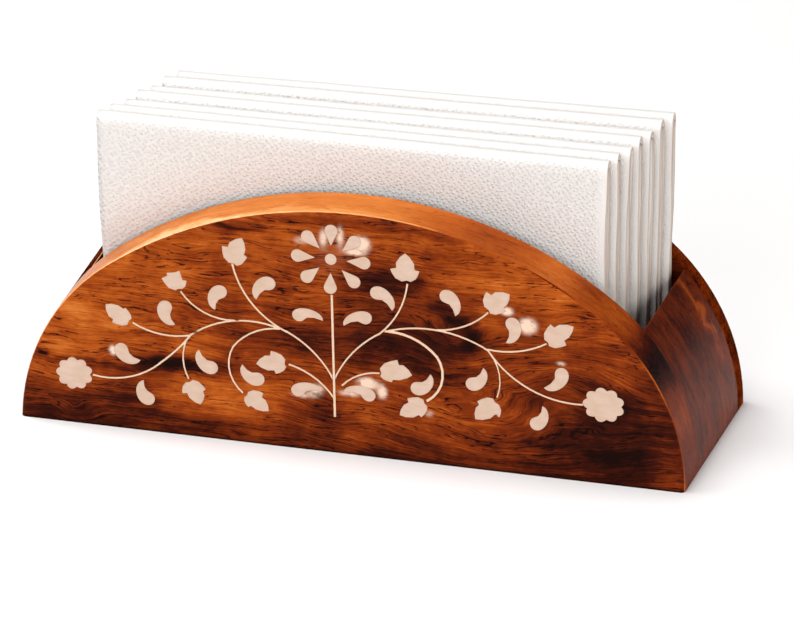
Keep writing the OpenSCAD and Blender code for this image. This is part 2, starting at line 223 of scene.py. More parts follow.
wander = stretched_noise(growth, place, (0.05, 0.05, 0.09), 3.0)
wander = add(growth, "ShaderNodeVectorMath", {"operation": "SUBTRACT"},
             in_0=wander.outputs["Color"], in_1=(0.5, 0.5, 0.5))
warped = add(growth, "ShaderNodeVectorMath", {"operation": "MULTIPLY_ADD"}, in_0=wander,
             in_1=DRIFT, in_2=place)
add(growth, "NodeGroupOutput", Figure=figure, Pore=pore, Warped=warped)
print("growth field with", len(KNOTS), "knots,", len(growth.nodes), "nodes")

# %% [markdown]
# One board is not one colour. The front is golden at its upper left and dark towards the right
# end and the bottom edge, with a nearly black streak at the left and dark hearts round the knots.
# The light upper left and the dark right end and bottom are partly the wood's own tone and partly
# painted light and shade, of the soft light falling from the upper left. These are laid on as soft
# hills and hollows of one tone, which a colour ramp then turns from nearly black through red-brown
# to gold. Painting a picture of the board would be closer, but it would fit one face only, and this
# goes round every edge.

# %% Where the wood is lighter or darker
TONES = [("#140302", 0.0), ("#3d1005", 0.18), ("#7c2f0a", 0.38), ("#ab5116", 0.55),
         ("#cb7430", 0.72), ("#eea05c", 0.92), ("#f8cfa2", 1.0)]
FRONT_HILLS = [  # x, z, reach along x and z in mm, and how much lighter or darker
    (-60, 50, 36, 18, 0.06), (-82, 34, 22, 12, 0.10), (-92, 4, 30, 9, -0.24),
    (-57, 21.8, 11, 2.1, -0.52), (-82, 20, 20, 1.3, -0.22), (-70, 12, 9, 6, -0.16),
    (-38, 10, 20, 7, 0.06), (-20, 38, 20, 12, -0.11), (12, 42, 22, 15, -0.17),
    (8, 57, 8, 5, -0.24), (16, 58, 6, 3, -0.18), (27, 51.5, 5, 3, -0.28), (33, 47, 4, 3.5, -0.32),
    (35, 42, 3, 4, -0.26), (52, 60, 24, 10, 0.08), (80, 44, 12, 8, 0.03), (80, 14, 24, 13, -0.19),
    (92, 24, 24, 26, -0.18), (5, 2, 75, 6, -0.17), (60, 8, 40, 10, -0.06),
    (34, 14, 20, 5, 0.07), (-9, 13, 6, 5, -0.22), (30, 39, 9, 7, -0.14), (-38, 70, 9, 1.2, -0.2),
    (-95, 22, 1.5, 1.0, -0.6), (40, 0, 70, 3, -0.10), (98, 4, 5, 5, 0.12),
    (50, 40, 60, 40, -0.05), (4, 33, 38, 13, -0.09),
]
# the arch's edge: lighter at the left, and darker towards the right end, which is partly painted
# shade
RIM_HILLS = [(-70, 60, 60, 30, 0.14), (-5, 78, 34, 10, 0.07), (40, 72, 22, 12, -0.15),
             (72, 56, 9, 12, -0.17), (94, 40, 13, 13, -0.64), (104, 8, 20, 16, -0.30)]
# where the arris is paler it is a painted highlight, and where it is darker a painted shadow line
ARRIS_LIGHT_AND_SHADOW_HILLS = [(-60, 60, 60, 40, 0.12), (36, 74, 14, 10, -0.42), (62, 64, 16, 12, -0.58),
                (84, 48, 12, 12, -0.50), (104, 18, 20, 22, -0.50)]
BACK_HILLS = [(95, 40, 16, 30, 0.06), (104, 6, 12, 18, 0.12)]
# the end blocks are seen from the side, so these give y and z in place of x and z; the last,
# wide hill lightens the lower part, partly as a painted sheen of the white table
BLOCK_HILLS = [(21, 36, 2.2, 14, 0.24), (34, 30, 7, 30, 0.08), (2, 34, 8, 16, -0.05),
               (10, 0, 60, 16, 0.07)]
# white filler that stayed in the pores round a few inlaid pieces, the last number its strength
FILLER = [
    (53.8, 48.4, 2.6, 2.4, 1.1), (47.2, 52.4, 2, 1.4, 0.9), (-11.2, 20, 2.4, 1.8, 0.7),
    (-15, 17.6, 4, 1.2, 0.5), (4.6, 23.8, 3, 1.8, 1.0), (9.2, 21.4, 1.6, 2.2, 0.8),
    (-1, 19.8, 3.4, 1.2, 0.6), (-74.4, 25, 1.4, 1.6, 0.9), (23.8, 16.2, 1.6, 1.3, 0.4),
    (64.2, 37.4, 1.8, 0.9, 0.5), (2, 68.8, 2.6, 2.2, 1.0), (0, 65.8, 3, 1, 0.7),
    (-9.8, 69.4, 1.3, 2.8, 0.6), (-4.6, 70.6, 1.2, 3.2, 0.6), (-16.8, 67.8, 2.4, 1.4, 0.4),
    (-7.4, 62.7, 10, 9, 0.12),
]
print(len(FRONT_HILLS), "patches on the front and", len(FILLER), "marks of filler")

# %% [markdown]
# Filler lies on the wood, so it is mixed over its colour, and so is a line of painted shade. White
# filler was rubbed into the gaps round the inlay, and what wasn't cleaned off stays in the pores:
# patches that are white in the middle and break up into specks. Along the foot of the front, where
# the rounded bottom edge turns down into shade, a dark line of painted shade is drawn as a hill
# that is very wide and under a millimetre high.

# %% Filler and painted shade along the foot
# the filler's white, and the brown of the painted shade along the foot
FILLER_WHITE, FOOT_SHADE_BROWN = "#ecd0ba", "#1a0703"
MOST_FILLER = 0.92  # the share of white where a mark is thickest
FOOT_SHADE = (0, 0, 900, 0.75, 1.0)  # painted shade along the foot, laid out as a hill in mm: the whole length, and 0.75 mm high


def with_filler(tree, point, colour, stains):
    """The colour under these stains of white filler, broken into specks at their edges."""
    haze = all_hills(tree, point, stains, 0.0)
    speckle = stretched_noise(tree, point, (0.5, 0.5, 0.7), 4.0, 0.7)
    speckle = add(tree, "ShaderNodeMapRange", Value=speckle, From_Min=0.20, From_Max=0.50,
                  To_Min=0.3, To_Max=1.2)
    haze = add(tree, "ShaderNodeMath", {"operation": "MULTIPLY"}, in_0=haze, in_1=speckle)
    haze = add(tree, "ShaderNodeMapRange", {"interpolation_type": "SMOOTHSTEP"}, Value=haze,
               From_Min=0.06, From_Max=0.85, To_Max=MOST_FILLER)
    return add(tree, "ShaderNodeMix", {"data_type": "RGBA"}, in_0=haze, in_6=colour,
               in_7=hex_colour(FILLER_WHITE)).outputs[2]


def with_foot_shade(tree, point, colour):
    """The colour with a fine dark line of painted shade along the foot."""
    return add(tree, "ShaderNodeMix", {"data_type": "RGBA"}, in_6=colour,
               in_0=hill(tree, point, *FOOT_SHADE, under=0.0), in_7=hex_colour(FOOT_SHADE_BROWN)).outputs[2]


print("the foot is dark for", FOOT_SHADE[3], "mm")

# %% [markdown]
# The lacquer is thin and rubbed down: it deepens the colour and adds little shine of its own. So
# the finish is one function, the same for every board, and what differs from board to board is how
# the grain runs, how dark the wood is and how much light or shade is painted on it.

# %% Lacquered sheesham
FRONT, SIDE = (0.0, 0.0, 0.0), (0.0, 0.0, -math.pi / 2)  # which side the hills are seen from
UPRIGHT = (math.pi / 2, 0.0, math.pi / 2)  # turns the grain from X to Z, and its layers across Y
ON_EDGE = (math.pi / 2, 0.0, 0.0)  # lays the layers as the edge of a board shows them
HIGHLIGHT_PLACE = (-45, 62, 55, 30)  # where the rim's painted highlight lies, laid out as a hill
HIGHLIGHT_FROM, HIGHLIGHT_TO = -30.5, -33.5  # mm along Y, where the painted highlight starts and where it is full
PORE_TONE, PORE_DEPTH = -0.08, 0.06 * MM  # how much darker and how much deeper a pore is


def lacquered_sheesham(name, start, hills, spin=FRONT, seen=FRONT, contrast=1.0, rough=0.38,
                       shine=0.06, stains=(), foot_shade=False, rim_highlight=0.0):
    """Sheesham whose tone is start, changed by hills laid on as seen from one side, with the
    grain along X unless it is spun. contrast is how strongly the figure shows. A highlight can be
    painted on, paler over the front 3 mm at the left, and a line of shade painted along the foot."""
    material, tree = new_material(name)
    where = add(tree, "ShaderNodeTexCoord").outputs["Object"]
    grain = add(tree, "ShaderNodeMapping", Vector=where, Scale=IN_MM, Rotation=spin)
    figure = add(tree, "ShaderNodeGroup", {"node_tree": growth}, Place=grain).outputs
    flat = add(tree, "ShaderNodeMapping", Vector=where, Scale=IN_MM, Rotation=seen)
    spot = add(tree, "ShaderNodeGroup", {"node_tree": growth}, Place=flat).outputs["Warped"]
    tone = add(tree, "ShaderNodeMath", {"operation": "MULTIPLY_ADD"}, in_0=figure["Figure"],
               in_1=contrast, in_2=start)
    tone = all_hills(tree, spot, hills, tone)
    # a painted highlight: the rim's front 3 mm paler at the left
    if rim_highlight:
        depth = add(tree, "ShaderNodeSeparateXYZ", Vector=spot).outputs["Y"]
        pale = add(tree, "ShaderNodeMapRange", Value=depth, From_Min=HIGHLIGHT_FROM,
                   From_Max=HIGHLIGHT_TO, To_Max=rim_highlight).outputs[0]
        tone = hill(tree, flat, *HIGHLIGHT_PLACE, pale, under=tone)
    tone = add(tree, "ShaderNodeMath", {"operation": "MULTIPLY_ADD"}, in_0=figure["Pore"],
               in_1=PORE_TONE * contrast, in_2=tone)
    ramp = add(tree, "ShaderNodeValToRGB", Fac=tone)
    paint(ramp, TONES)
    colour = ramp.outputs[0]
    if stains:
        colour = with_filler(tree, flat, colour, stains)
    # a dark line of painted shade along the foot
    if foot_shade:
        colour = with_foot_shade(tree, flat, colour)
    dents = add(tree, "ShaderNodeBump", {"invert": True}, Strength=0.3, Distance=PORE_DEPTH,
                Height=figure["Pore"])
    shader = add(tree, "ShaderNodeBsdfPrincipled", Base_Color=colour, Roughness=rough,
                 IOR=1.5, Specular_IOR_Level=shine, Specular_Tint=hex_colour("#ffdccb"),
                 Normal=dents)
    add(tree, "ShaderNodeOutputMaterial", Surface=shader)
    return material


# the broad face, sanded smooth: all its figure shows, deep and warm, with hardly a gleam
face_wood = lacquered_sheesham("lacquered sheesham, the figured front", 0.445, FRONT_HILLS,
                               contrast=1.15, stains=FILLER, foot_shade=True)
# the arch's edge: painted paler than the face for the light from above, quieter and almost matt
rim_wood = lacquered_sheesham("lacquered sheesham, the edge painted paler", 0.61, RIM_HILLS,
                              ON_EDGE, contrast=0.45, rough=0.25, shine=0.02, rim_highlight=0.24)
# end blocks with upright grain: the darkest boards, with a faint smooth sheen
block_wood = lacquered_sheesham("lacquered sheesham, the dark end blocks", 0.26, BLOCK_HILLS,
                                UPRIGHT, SIDE, contrast=0.6, rough=0.24, shine=0.025)
# the back, the floor and the inside of the slot: even red-brown; in the slot this darker
# wood is partly painted shade
plain_wood = lacquered_sheesham("lacquered sheesham, the plain boards", 0.26, [])
# the back board's edge got oil and no lacquer, so it has no gleam at all
dull_wood = lacquered_sheesham("oiled sheesham, the back board's edge", 0.22, BACK_HILLS,
                               shine=0.0)
# the rounded arris and the blocks' eased top edges: a thin pale line of painted highlight,
# and right of the crown a dark line of painted shadow
arris_light_and_shadow = lacquered_sheesham("lacquered sheesham, an edge rubbed pale", 0.86, ARRIS_LIGHT_AND_SHADOW_HILLS,
                                 contrast=0.3, shine=0.08)
# an eased foot edge, painted nearly black as shade
shaded_edge = lacquered_sheesham("sheesham edge, painted dark as shade", 0.02, [], contrast=0.2)
print("made the boards' finishes, from", face_wood.name, "to", shaded_edge.name)

# %% [markdown]
# The inlaid pieces are sawn from pale, almost white wood about the thickness of a veneer, pressed
# into pockets and sanded flush. They are warm ivory with a faint grain of their own. Two vines
# are chipped and one bud has a pinhole, and the dark wood shows there. The dowels inside are plain
# beech rod. All of these are one recipe: a stretched noise between two tones.

# %% Inlay and dowel wood
# x, z, reach along x and z in mm, and how much of the dark wood shows
CHIPS = [(-49.1, 34, 0.9, 0.7, 1.0), (-36.2, 39.5, 0.6, 0.5, 1.0), (44.6, 18.2, 0.35, 0.35, 1.0)]
VENEER_GRAIN, ROD_GRAIN = (220, 220, 500), (900, 60, 900)  # changes in a metre along each axis


def pale_wood(name, grain, detail, tones, rough, shine, chips=()):
    """Wood with a faint grain between two tones, dark where a chip is missing."""
    material, tree = new_material(name)
    where = add(tree, "ShaderNodeTexCoord").outputs["Object"]
    stretched = add(tree, "ShaderNodeMapping", Vector=where, Scale=grain)
    noise = add(tree, "ShaderNodeTexNoise", Vector=stretched, Scale=1.0, Detail=detail)
    ramp = add(tree, "ShaderNodeValToRGB", Fac=noise)
    paint(ramp, tones)
    colour = ramp.outputs[0]
    if chips:
        in_mm = add(tree, "ShaderNodeMapping", Vector=where, Scale=IN_MM)
        marks = all_hills(tree, in_mm, chips, 0.0)
        colour = add(tree, "ShaderNodeMix", {"data_type": "RGBA"}, in_0=marks, in_6=colour,
                     in_7=hex_colour("#6b2f14")).outputs[2]
    shader = add(tree, "ShaderNodeBsdfPrincipled", Base_Color=colour, Roughness=rough, IOR=1.5,
                 Specular_IOR_Level=shine)
    add(tree, "ShaderNodeOutputMaterial", Surface=shader)
    return material


# sanded flush with the face: smooth ivory that greys a little where the grain is open
inlay_wood = pale_wood("pale inlay wood, sanded flush", VENEER_GRAIN, 4.0,
                       [("#c9ab95", 0.3), ("#d3b9a7", 0.7)], 0.4, 0.18, CHIPS)
# the vines are cleaner and look paler, as thin light lines on dark wood do
vine_wood = pale_wood("pale inlay wood, the thin vines", VENEER_GRAIN, 4.0,
                      [("#e0bf9f", 0.3), ("#e8ccb2", 0.7)], 0.4, 0.18, CHIPS)
# rolled through a die and left bare: tan, streaked along the rod, dry to the eye
dowel_beech = pale_wood("beech dowel rod, unfinished", ROD_GRAIN, 3.0,
                        [("#b08a5c", 0.0), ("#d9b98c", 1.0)], 0.65, 0.5)
print("made", inlay_wood.name, "and", dowel_beech.name)

# %% [markdown]
# The boards keep the CAD's shapes, pockets and rounded edges included, but a CAD mesh is loose
# triangles that shade as facets. So each board is a copy whose corners are merged and whose flat
# faces are joined up again. A few edges are then eased with a small bevel, where sanding took the
# sharpness off, and weighted normals let the big flat faces stay flat while the arches turn. A
# bevel stops where it would meet the next edge. So it is very fine along the foot, where the
# arch's facets are small, and the line of painted shade in the face's finish draws that edge.

# %% Boards
SAME_SPOT = 2e-7  # metres: corners nearer than this are one corner
SAME_PLANE, FOLDED = math.radians(0.2), math.radians(30)  # flatter is one face, steeper an edge
SQUARE, TURNING = 0.5, 0.2  # how far along Y a flat face points, and the rounding next to it
FLAT, ROUND, EDGE, ROUNDING, INSIDE = range(5)  # the places of a board's materials


def dress(mesh, *materials):
    """Gives a mesh these materials and no others."""
    mesh.materials.clear()
    for material in materials:
        mesh.materials.append(material)


def merged_copy(node, name, *materials):
    """A copy of a CAD mesh with these materials, and the same mesh merged and ready to edit."""
    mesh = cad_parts[node].data.copy()
    mesh.name = name
    dress(mesh, *materials)
    work = bmesh.new()
    work.from_mesh(mesh)
    bmesh.ops.remove_doubles(work, verts=work.verts, dist=SAME_SPOT)
    return mesh, work


def finished_board(node, flat_wood, round_wood, rounding_wood, edge_wood, eased, width):
    """A merged copy of a CAD board: flat_wood on the faces that stand square to the depth,
    round_wood elsewhere, rounding_wood where the rim rounds off into its face, a bevel in
    edge_wood where eased(middle of the edge) is true, and plain wood inside the slot."""
    mesh, work = merged_copy(node, node + "_wood", flat_wood, round_wood, edge_wood,
                             rounding_wood, plain_wood)
    bmesh.ops.dissolve_limit(work, angle_limit=SAME_PLANE, verts=work.verts, edges=work.edges)
    weight = work.edges.layers.float.new("bevel_weight_edge")
    for edge in work.edges:
        folded = len(edge.link_faces) == 2 and edge.calc_face_angle() > FOLDED
        middle = (edge.verts[0].co + edge.verts[1].co) / 2
        edge.smooth = not folded
        edge[weight] = 1.0 if folded and eased(middle) else 0.0
    for face in work.faces:
        face.smooth = True
        out = abs(face.normal.y)
        face.material_index = FLAT if out > SQUARE else ROUNDING if out > TURNING else ROUND
        if out > SQUARE and face.normal.y * face.calc_center_median().y < 0:
            face.material_index = INSIDE
    work.to_mesh(mesh)
    work.free()
    board = in_scene(node + "_wood", mesh)
    ease = board.modifiers.new("eased edges", "BEVEL")
    ease.limit_method = "WEIGHT"
    ease.width = width
    ease.segments = 3
    ease.material = EDGE
    flat = board.modifiers.new("flat faces stay flat", "WEIGHTED_NORMAL")
    flat.keep_sharp = True
    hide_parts(node)
    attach(board, "holder")
    print(board.name, len(mesh.polygons), "faces")


# %% The four boards that show
NEAR = 1e-5  # metres: an edge this near a plane lies in it
BLOCK_TOP = 40 * MM  # an edge of an end block above this height is one of its top edges
FOOT_BEVEL, BLOCK_BEVEL = 0.9 * MM, 0.4 * MM
slot_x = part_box("right_end_block")[0][0]
front_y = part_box("front_panel")[0][1]
back_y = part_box("back_panel")[1][1]

finished_board("front_panel", face_wood, rim_wood, arris_light_and_shadow, shaded_edge,
               lambda at: at.z < NEAR and abs(at.y - front_y) < NEAR, FOOT_BEVEL)
finished_board("back_panel", plain_wood, dull_wood, dull_wood, shaded_edge,
               lambda at: at.z < NEAR and abs(at.y - back_y) < NEAR, FOOT_BEVEL)
for side, wood in (("left", dull_wood), ("right", block_wood)):
    finished_board(side + "_end_block", wood, wood, wood, arris_light_and_shadow,
                   lambda at: abs(abs(at.x) - slot_x) < NEAR and at.z > BLOCK_TOP,
                   BLOCK_BEVEL)

# %% [markdown]
# The vines and the stem are thin slips of the same pale wood, sawn or bent to their curve and
# pressed into a groove of their own shape. Real ones leave a fine dark line of glue on both sides,
# and they are a little thinner than the CAD has them. Both are shown in one move: each vine is a
# merged copy whose side walls are drawn in, and the groove beside it stays open and dark.

# %% Vines and stem
VINES = ("left_vines", "right_vines", "centre_stem")
SHRINKAGE = 0.07 * MM  # on each side


def shrunk_vine(node):
    """A merged copy of a vine, its sides drawn in to leave the fine dark glue line round it."""
    mesh, work = merged_copy(node, node + "_veneer", vine_wood)
    moves = {}
    for vert in work.verts:
        sides = [face.normal for face in vert.link_faces if abs(face.normal.y) < SQUARE]
        if sides:
            moves[vert] = sum(sides, Vector()).normalized() * SHRINKAGE
    for vert, move in moves.items():
        vert.co -= move
    work.to_mesh(mesh)
    work.free()
    vine = in_scene(node + "_veneer", mesh)
    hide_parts(node)
    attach(vine, "holder")
    print(vine.name, len(mesh.polygons), "faces")


for node in VINES:
    shrunk_vine(node)

# %% [markdown]
# What is left are small pieces with flat faces: petals, leaves, buds and rosettes, sanded flush
# with the front, and the floor board and the dowels inside. Their CAD shapes are already right, so
# they stay as they are and only get their finish.

# %% Pieces that need only a finish
REBUILT = ("front_panel", "back_panel", "left_end_block", "right_end_block", *VINES)
dressed_nodes = 0
for node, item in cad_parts.items():
    if node in REBUILT or node.startswith("napkin"):
        continue
    finish = (plain_wood if node == "base_board" else
              dowel_beech if node.endswith("dowels") else inlay_wood)
    dress(item.data, finish)
    dressed_nodes += 1
print("gave", dressed_nodes, "CAD nodes their finish")

# %% [markdown]
# Each napkin is one square sheet of soft tissue, 314 mm on a side, folded in half three times.
# Rollers pressed fine rows of dots into it, which catch the light as tiny bumps. They are too small
# to be worth real geometry, so they are a bump in the material, laid out in the sheet's own
# millimetres so that they follow it round every fold. Light also comes through soft paper, so part
# of the shader is translucent.

# %% Embossed tissue
NAPKIN_W = 157 * MM  # folded: half of the sheet, so the end fold is here along it
TOP_FOLD = 80.5  # mm round the sheet to the crest of the top fold
END_FLAT, END_FULL = 149.5, 146.5  # mm along it, where the dots are gone and where they are whole
TOP_FLAT, TOP_FULL, TOP_LEFT = 1.8, 4.0, 0.08  # mm off the crest, and the share left on it
END_SHADE_START, END_SHADE_FULL = 150.5, 154.0  # mm along it, where the painted shade of the end fold starts and where it is full
DOT_SPACING, DOT_HEIGHT = 1.3, 0.5 * MM  # spacing in mm of sheet
ROWS = (0, 0, math.radians(-36))  # how the rows of dots lie across the sheet
THROUGH = 0.32  # the share of the light that goes through the paper

tissue, tree = new_material("embossed paper tissue")
sheet_mm = add(tree, "ShaderNodeUVMap", {"uv_map": "sheet"})
turned = add(tree, "ShaderNodeMapping", Vector=sheet_mm, Rotation=ROWS)
# rows of raised dots, not quite in line: low between them, with a fibrous roughness over all
dots = add(tree, "ShaderNodeTexVoronoi", {"voronoi_dimensions": "2D"}, Vector=turned,
           Scale=1 / DOT_SPACING, Randomness=0.5).outputs["Distance"]
between = add(tree, "ShaderNodeMapRange", {"interpolation_type": "SMOOTHSTEP"}, Value=dots,
              From_Min=0.08, From_Max=0.40)
fibres = add(tree, "ShaderNodeTexNoise", Vector=sheet_mm, Scale=0.9, Detail=4.0)
relief = add(tree, "ShaderNodeMix", {"data_type": "FLOAT"}, in_0=0.5, in_2=between, in_3=fibres)

# the dots are pressed flat again at the two creases that show: the end fold and the top fold
along_sheet = add(tree, "ShaderNodeSeparateXYZ", Vector=sheet_mm).outputs
from_left = add(tree, "ShaderNodeMath", {"operation": "PINGPONG"}, in_0=along_sheet["X"],
                in_1=NAPKIN_W / MM)
off_end = add(tree, "ShaderNodeMapRange", Value=from_left, From_Min=END_FLAT,
              From_Max=END_FULL)
from_top = add(tree, "ShaderNodeMath", {"operation": "SUBTRACT"}, in_0=along_sheet["Y"],
               in_1=TOP_FOLD)
from_top = add(tree, "ShaderNodeMath", {"operation": "ABSOLUTE"}, in_0=from_top)
off_top = add(tree, "ShaderNodeMapRange", Value=from_top, From_Min=TOP_FLAT,
              From_Max=TOP_FULL, To_Min=TOP_LEFT)
strength = add(tree, "ShaderNodeMath", {"operation": "MULTIPLY"}, in_0=off_end, in_1=off_top)
embossed = add(tree, "ShaderNodeBump", {"invert": True}, Strength=strength,
               Distance=DOT_HEIGHT, Height=relief)

# white on the dots and a trace duller between them, which is painted shade, and darker and
# warmer at the end fold, which is painted shade on the napkins' ends
paper = add(tree, "ShaderNodeMix", {"data_type": "RGBA"}, in_0=between,
            in_6=hex_colour("#ffffff"), in_7=hex_colour("#fbf9f7")).outputs[2]
end_fold_shade = add(tree, "ShaderNodeMapRange", Value=from_left, From_Min=END_SHADE_START,
              From_Max=END_SHADE_FULL)
paper = add(tree, "ShaderNodeMix", {"data_type": "RGBA"}, in_0=end_fold_shade, in_6=paper,
            in_7=hex_colour("#d0beb1")).outputs[2]
front_light = add(tree, "ShaderNodeBsdfPrincipled", Base_Color=paper, Roughness=0.9, IOR=1.45,
                  Specular_IOR_Level=0.1, Normal=embossed)
back_light = add(tree, "ShaderNodeBsdfTranslucent", Color=hex_colour("#fffaf6"))
shader = add(tree, "ShaderNodeMixShader", in_0=THROUGH, in_1=front_light, in_2=back_light)
add(tree, "ShaderNodeOutputMaterial", Surface=shader)
print("made", tissue.name, "with dots", DOT_SPACING, "mm apart")

# %% [markdown]
# Seen along its long edge a folded napkin is a U inside a U, open at the foot and round at the
# top, and each wall of both is double, joined by a fold at the right end. A cloth simulation could
# fold a sheet, but three folds of thin paper give it trouble. The fold has a simple rule, so it is
# drawn instead: first the curve of the U in a U.

# %% The curve of the folds
PLY = 0.55 * MM  # one layer with the air on it
NAPKIN_TURN = math.radians(1.9)  # how far the stack stands turned in the slot
FOOT_GAP = 1.2 * MM  # how high the open edges end; the fold between them ends twice as high
PRESSED = 0.28  # the top folds are pressed to this share of a round arch

napkin_names = sorted(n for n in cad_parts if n.startswith("napkin"))
low, high = (Vector(c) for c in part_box(napkin_names[0]))
napkin_h = high.z - low.z
napkin_t = ((high.y - low.y) - NAPKIN_W * math.sin(NAPKIN_TURN)) / math.cos(NAPKIN_TURN)
print("napkin", round(napkin_t / MM, 2), "mm thick,", round(napkin_h / MM, 2), "mm tall")


def wall(y, start, end, steps=10):
    """The points after the first of a straight wall, as (y, z)."""
    return [(y, start + (end - start) * k / steps) for k in range(1, steps + 1)]


def arch(middle, z, reach_y, reach_z, steps):
    """The points after the first of a half turn from middle + reach_y to middle - reach_y."""
    angles = (math.pi * k / steps for k in range(1, steps + 1))
    return [(middle + reach_y * math.cos(a), z + reach_z * math.sin(a)) for a in angles]


def u_in_u(thick, tall):
    """Points of the double U from one open edge to the other, as (y, z), in the sheet's order."""
    outer, inner = 0.375 * thick, 0.125 * thick  # the four double walls stand evenly
    hem = (outer - inner) / 2  # the radius of the fold at the foot
    outer_top = tall - PRESSED * outer - PLY
    inner_top = outer_top - 2 * PLY
    return [(-outer, FOOT_GAP), *wall(-outer, FOOT_GAP, outer_top),
            *arch(0, outer_top, -outer, PRESSED * outer, 12),
            *wall(outer, outer_top, 2 * FOOT_GAP),
            *arch(outer - hem, 2 * FOOT_GAP, hem, -hem, 6),
            *wall(inner, 2 * FOOT_GAP, inner_top),
            *arch(0, inner_top, inner, PRESSED * inner, 8),
            *wall(-inner, inner_top, FOOT_GAP)]


# %% [markdown]
# Geometry Nodes then carry a flat grid along that curve, up one side of the end fold and back
# along the other, so the mesh is the whole sheet in one piece. The tree's inputs are the napkin's
# sizes, because no two napkins in a stack lie quite alike.

# %% The inputs of the folding rule
SIZES = {"Width": NAPKIN_W, "Ply": PLY, "Turn": NAPKIN_TURN, "Wave": 0.25 * MM,
         "Stagger": 1.6 * MM, "Tall": napkin_h, "Lean": 0.0, "Askew": 0.0, "Seed": 0.0}
SOCKETS = [("Geometry", "Geometry"), *((name, "Float") for name in SIZES),
           ("Place", "Vector"), ("Material", "Material")]

fold = bpy.data.node_groups.new("sheet folded along a curve", "GeometryNodeTree")
fold.is_modifier = True
for name, kind in SOCKETS:
    fold.interface.new_socket(name, in_out="INPUT", socket_type="NodeSocket" + kind)
fold.interface.new_socket("Geometry", in_out="OUTPUT", socket_type="NodeSocketGeometry")
given = add(fold, "NodeGroupInput").outputs
print("a folded sheet has", len(SOCKETS) - 1, "named inputs")

# %% A flat sheet that knows its own millimetres
LEAF_STEPS, END_STEPS, AROUND_STEPS = 60, 6, 120  # along a leaf, round the end fold, round the U
STEPS = 2 * LEAF_STEPS + END_STEPS
END_SHARE = END_STEPS / 2 / STEPS  # the end fold's reach to either side of the sheet's middle

grid = add(fold, "GeometryNodeMeshGrid", Size_X=1.0, Size_Y=1.0, Vertices_X=STEPS + 1,
           Vertices_Y=AROUND_STEPS + 1)
in_mm = add(fold, "ShaderNodeVectorMath", {"operation": "SCALE"}, in_0=grid.outputs["UV Map"],
            Scale=2 * NAPKIN_W / MM)
uv = add(fold, "GeometryNodeStoreNamedAttribute", {"data_type": "FLOAT2", "domain": "CORNER"},
         Geometry=grid, Name="sheet", Value=in_mm)
flat_at = add(fold, "ShaderNodeSeparateXYZ",
              Vector=add(fold, "GeometryNodeInputPosition")).outputs
share_x, share_y = (add(fold, "ShaderNodeMath", {"operation": "ADD"}, in_0=flat_at[axis], in_1=0.5)
                    for axis in "XY")
print("grid of", STEPS, "by", AROUND_STEPS, "steps")

# %% Along the napkin: out on one leaf, round the end fold and back on the other
# -1 on one leaf and 1 on the other, turning between them
turning = add(fold, "ShaderNodeMapRange", Value=share_x, From_Min=0.5 - END_SHARE,
              From_Max=0.5 + END_SHARE, To_Min=-math.pi / 2, To_Max=math.pi / 2)
leaf = add(fold, "ShaderNodeMath", {"operation": "SINE"}, in_0=turning)
nose = add(fold, "ShaderNodeMath", {"operation": "COSINE"}, in_0=turning)
half_ply = add(fold, "ShaderNodeMath", {"operation": "MULTIPLY"}, in_0=given["Ply"], in_1=0.5)
to_end = add(fold, "ShaderNodeMath", {"operation": "PINGPONG"}, in_0=share_x, in_1=0.5)
along = add(fold, "ShaderNodeMapRange", Value=to_end, From_Min=0.0, From_Max=0.5 - END_SHARE,
            To_Min=0.0, To_Max=1.0)
along = add(fold, "ShaderNodeMath", {"operation": "MULTIPLY"}, in_0=along, in_1=given["Width"])
along = add(fold, "ShaderNodeMath", {"operation": "MULTIPLY_ADD"}, in_0=nose, in_1=half_ply,
            in_2=along)

# no wall is folded quite like the next, so their ends stand in and out a little
WALLS, FULL_AT = 9.0, 0.75  # how fast that changes round the U, and the noise of a full wall
uneven = add(fold, "ShaderNodeMath", {"operation": "MULTIPLY"}, in_0=share_y, in_1=WALLS)
uneven = add(fold, "ShaderNodeTexNoise", {"noise_dimensions": "4D"}, W=given["Seed"], Scale=1.0,
             Detail=0.0, Vector=add(fold, "ShaderNodeCombineXYZ", X=uneven))
uneven = add(fold, "ShaderNodeMath", {"operation": "SUBTRACT"}, in_0=uneven, in_1=FULL_AT)
along = add(fold, "ShaderNodeMath", {"operation": "MULTIPLY_ADD"}, in_0=uneven,
            in_1=given["Stagger"], in_2=along)
print("a leaf is", LEAF_STEPS, "steps long")


# %% [markdown]
# Now the flat sheet meets the curve. Its other direction runs along the curve of the U in a U, and
# each leaf stands half a layer off to its own side, so the two never touch.

# %% Across the napkin: along the curve, one leaf on each side of it
def moved(spot, **by):
    """The spot, moved along the axes that are named, as in X=distance."""
    step = add(fold, "ShaderNodeCombineXYZ", **by)
    return add(fold, "ShaderNodeVectorMath", {"operation": "ADD"}, in_0=spot, in_1=step)


path = add(fold, "GeometryNodeSampleCurve", {"mode": "FACTOR", "use_all_curves": True},
           Curves=given["Geometry"], Factor=share_y).outputs
outwards = add(fold, "ShaderNodeVectorMath", {"operation": "CROSS_PRODUCT"},
               in_0=path["Tangent"], in_1=(1.0, 0.0, 0.0))
off_curve = add(fold, "ShaderNodeMath", {"operation": "MULTIPLY"}, in_0=leaf, in_1=half_ply)
outwards = add(fold, "ShaderNodeVectorMath", {"operation": "SCALE"}, in_0=outwards,
               Scale=off_curve.outputs[0])
spot = add(fold, "ShaderNodeVectorMath", {"operation": "ADD"}, in_0=path["Position"],
           in_1=outwards)
half_width = add(fold, "ShaderNodeMath", {"operation": "MULTIPLY"}, in_0=given["Width"],
                 in_1=0.5)
spot = moved(spot, X=add(fold, "ShaderNodeMath", {"operation": "SUBTRACT"}, in_0=along,
                         in_1=half_width))
print("the leaves stand", PLY / MM, "mm apart")

